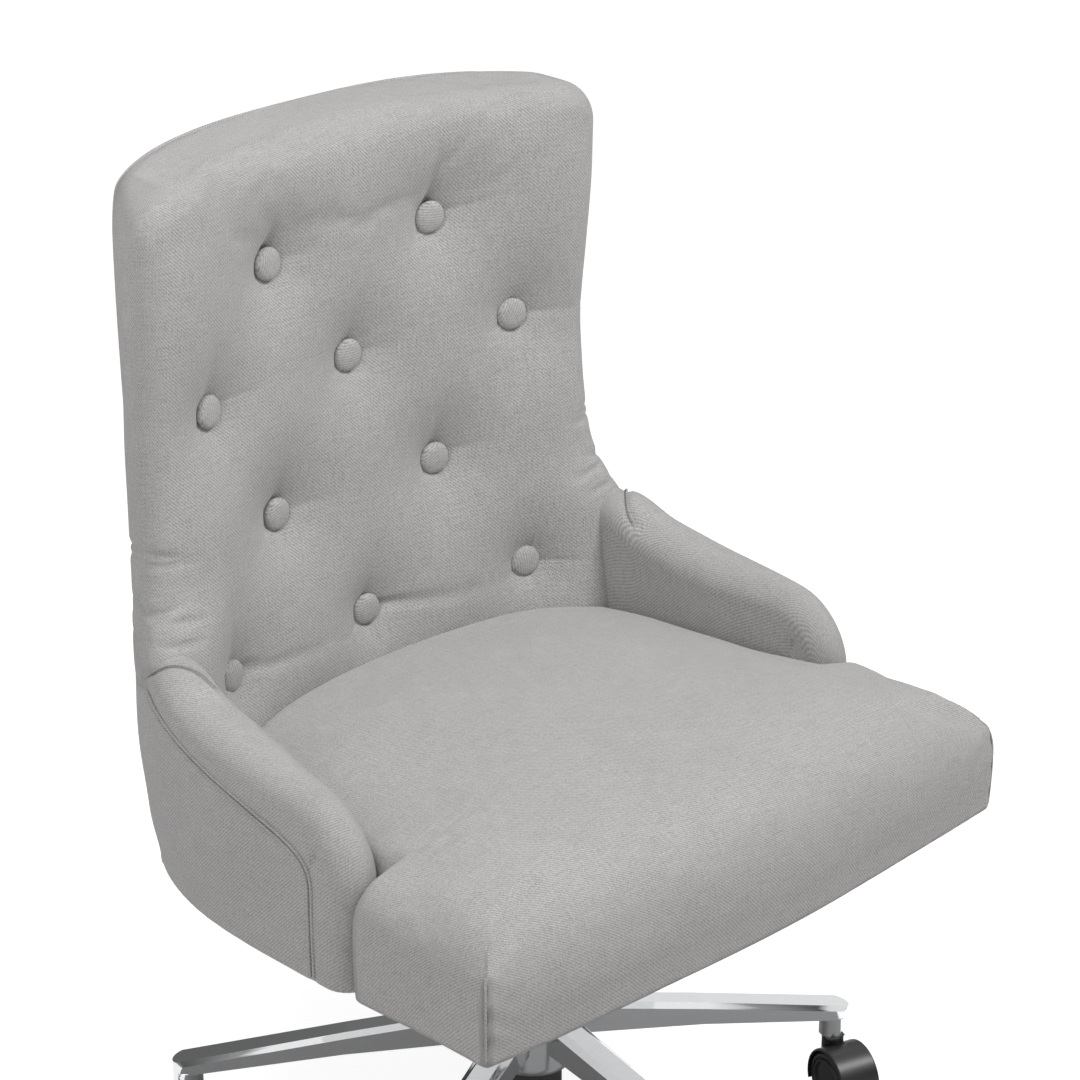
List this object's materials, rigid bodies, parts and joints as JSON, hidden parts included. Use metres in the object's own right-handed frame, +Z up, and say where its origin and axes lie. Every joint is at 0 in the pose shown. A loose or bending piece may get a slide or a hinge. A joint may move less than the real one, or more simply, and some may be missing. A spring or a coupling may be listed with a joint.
{
  "type": "swivel office chair",
  "caption": "Upholstered swivel office chair: button-tufted curved back, low wrap arms, padded T-shaped seat, tilt mechanism, gas lift and chrome star base on twin-wheel casters.",
  "frame": {"origin": "on the floor, on the swivel axis", "axes": "+Z up, -Y to the front of the seat, +X to the sitter's left"},
  "size_m": [0.6251, 0.629, 0.908],
  "materials": {
    "upholstery": "light warm grey plain weave, matte",
    "buttons": "buttons covered in the same grey weave",
    "dust_cloth": "thin black nonwoven",
    "chrome": "polished",
    "steel": "zinc plated",
    "black_metal": "satin powder coat",
    "black_plastic": "fine moulded texture",
    "caster_plastic": "satin black nylon",
    "wood": "birch plywood"
  },
  "bodies": {
    "base": {"star_base": "chrome", "stem_sleeves": "steel", "lift_column": "black_metal", "column_bush": "black_plastic", "thrust_bearing": "steel"},
    "piston_rod": {"piston_rod": "steel", "rod_clip": "steel"},
    "mechanism": {"pressure_tube": "chrome", "mechanism_housing": "black_metal", "pivot_shaft": "steel", "shaft_clips": "steel", "lever_pin": "steel", "tension_spring": "steel"},
    "release_pin": {"release_pin": "steel"},
    "lever": {"lever_rod": "steel", "lever_paddle": "black_plastic"},
    "seat": {"seat_plate": "black_metal", "plate_bolts": "steel", "t_nuts": "steel", "tension_bolt": "steel", "seat_board": "wood", "dust_cover": "dust_cloth", "seat_cushion": "upholstery", "arm_left": "upholstery", "arm_right": "upholstery", "arm_panels": "wood", "frame_bolts": "steel", "back_frame": "wood", "back_pad": "upholstery", "back_shell": "upholstery", "back_buttons": "buttons"},
    "spring_cup": {"spring_cup": "steel"},
    "tension_knob": {"tension_knob": "black_plastic"},
    "caster_1": {"caster_1_stem": "steel", "caster_1_hood": "caster_plastic", "caster_1_axle": "steel"},
    "caster_1_wheel_left": {"caster_1_wheel_left": "caster_plastic"},
    "caster_1_wheel_right": {"caster_1_wheel_right": "caster_plastic"},
    "caster_2": {"caster_2_stem": "steel", "caster_2_hood": "caster_plastic", "caster_2_axle": "steel"},
    "caster_2_wheel_left": {"caster_2_wheel_left": "caster_plastic"},
    "caster_2_wheel_right": {"caster_2_wheel_right": "caster_plastic"},
    "caster_3": {"caster_3_stem": "steel", "caster_3_hood": "caster_plastic", "caster_3_axle": "steel"},
    "caster_3_wheel_left": {"caster_3_wheel_left": "caster_plastic"},
    "caster_3_wheel_right": {"caster_3_wheel_right": "caster_plastic"},
    "caster_4": {"caster_4_stem": "steel", "caster_4_hood": "caster_plastic", "caster_4_axle": "steel"},
    "caster_4_wheel_left": {"caster_4_wheel_left": "caster_plastic"},
    "caster_4_wheel_right": {"caster_4_wheel_right": "caster_plastic"},
    "caster_5": {"caster_5_stem": "steel", "caster_5_hood": "caster_plastic", "caster_5_axle": "steel"},
    "caster_5_wheel_left": {"caster_5_wheel_left": "caster_plastic"},
    "caster_5_wheel_right": {"caster_5_wheel_right": "caster_plastic"}
  },
  "joints": [
    {"name": "seat_swivel", "type": "hinge", "parent": "base", "child": "piston_rod", "pos_m": [0, 0, 0.095], "axis": [0, 0, 1], "continuous": true},
    {"name": "seat_lift", "type": "slide", "parent": "piston_rod", "child": "mechanism", "axis": [0, 0, 1], "range_m": [0, 0.09]},
    {"name": "seat_tilt", "type": "hinge", "parent": "mechanism", "child": "seat", "pos_m": [0, -0.04, 0.31], "axis": [-1, 0, 0], "range_deg": [0, 12], "stiffness_Nm_per_rad": 60, "springref_deg": -28.65, "deforming": ["tension_spring"]},
    {"name": "cup_slide", "type": "slide", "parent": "seat", "child": "spring_cup", "axis": [0, 0, 1], "range_m": [0, 0.006]},
    {"name": "knob_turn", "type": "hinge", "parent": "spring_cup", "child": "tension_knob", "pos_m": [0, -0.092, 0.233], "axis": [0, 0, 1], "range_deg": [0, 1440]},
    {"name": "lever_lift", "type": "hinge", "parent": "mechanism", "child": "lever", "pos_m": [-0.028, 0, 0.3145], "axis": [0, 1, 0], "range_deg": [0, 6], "stiffness_Nm_per_rad": 3, "springref_deg": -8.59},
    {"name": "pin_press", "type": "slide", "parent": "mechanism", "child": "release_pin", "axis": [0, 0, -1], "range_m": [0, 0.003]},
    {"name": "caster_1_swivel", "type": "hinge", "parent": "base", "child": "caster_1", "pos_m": [0, -0.3, 0.0645], "axis": [0, 0, 1], "continuous": true},
    {"name": "caster_1_roll_left", "type": "hinge", "parent": "caster_1", "child": "caster_1_wheel_left", "pos_m": [-0.00618, -0.31902, 0.028], "axis": [0.9511, -0.309, 0], "continuous": true},
    {"name": "caster_1_roll_right", "type": "hinge", "parent": "caster_1", "child": "caster_1_wheel_right", "pos_m": [-0.00618, -0.31902, 0.028], "axis": [0.9511, -0.309, 0], "continuous": true},
    {"name": "caster_2_swivel", "type": "hinge", "parent": "base", "child": "caster_2", "pos_m": [0.28532, -0.0927, 0.0645], "axis": [0, 0, 1], "continuous": true},
    {"name": "caster_2_roll_left", "type": "hinge", "parent": "caster_2", "child": "caster_2_wheel_left", "pos_m": [0.27914, -0.11173, 0.028], "axis": [0.9511, -0.309, 0], "continuous": true},
    {"name": "caster_2_roll_right", "type": "hinge", "parent": "caster_2", "child": "caster_2_wheel_right", "pos_m": [0.27914, -0.11173, 0.028], "axis": [0.9511, -0.309, 0], "continuous": true},
    {"name": "caster_3_swivel", "type": "hinge", "parent": "base", "child": "caster_3", "pos_m": [0.17634, 0.24271, 0.0645], "axis": [0, 0, 1], "continuous": true},
    {"name": "caster_3_roll_left", "type": "hinge", "parent": "caster_3", "child": "caster_3_wheel_left", "pos_m": [0.17016, 0.22368, 0.028], "axis": [0.9511, -0.309, 0], "continuous": true},
    {"name": "caster_3_roll_right", "type": "hinge", "parent": "caster_3", "child": "caster_3_wheel_right", "pos_m": [0.17016, 0.22368, 0.028], "axis": [0.9511, -0.309, 0], "continuous": true},
    {"name": "caster_4_swivel", "type": "hinge", "parent": "base", "child": "caster_4", "pos_m": [-0.17634, 0.24271, 0.0645], "axis": [0, 0, 1], "continuous": true},
    {"name": "caster_4_roll_left", "type": "hinge", "parent": "caster_4", "child": "caster_4_wheel_left", "pos_m": [-0.18252, 0.22368, 0.028], "axis": [0.9511, -0.309, 0], "continuous": true},
    {"name": "caster_4_roll_right", "type": "hinge", "parent": "caster_4", "child": "caster_4_wheel_right", "pos_m": [-0.18252, 0.22368, 0.028], "axis": [0.9511, -0.309, 0], "continuous": true},
    {"name": "caster_5_swivel", "type": "hinge", "parent": "base", "child": "caster_5", "pos_m": [-0.28532, -0.0927, 0.0645], "axis": [0, 0, 1], "continuous": true},
    {"name": "caster_5_roll_left", "type": "hinge", "parent": "caster_5", "child": "caster_5_wheel_left", "pos_m": [-0.2915, -0.11173, 0.028], "axis": [0.9511, -0.309, 0], "continuous": true},
    {"name": "caster_5_roll_right", "type": "hinge", "parent": "caster_5", "child": "caster_5_wheel_right", "pos_m": [-0.2915, -0.11173, 0.028], "axis": [0.9511, -0.309, 0], "continuous": true}
  ],
  "couplings": [
    {"joint": "knob_turn", "follows": "cup_slide", "rad_per_m": 4188.8},
    {"joint": "pin_press", "follows": "lever_lift", "m_per_rad": 0.028}
  ]
}
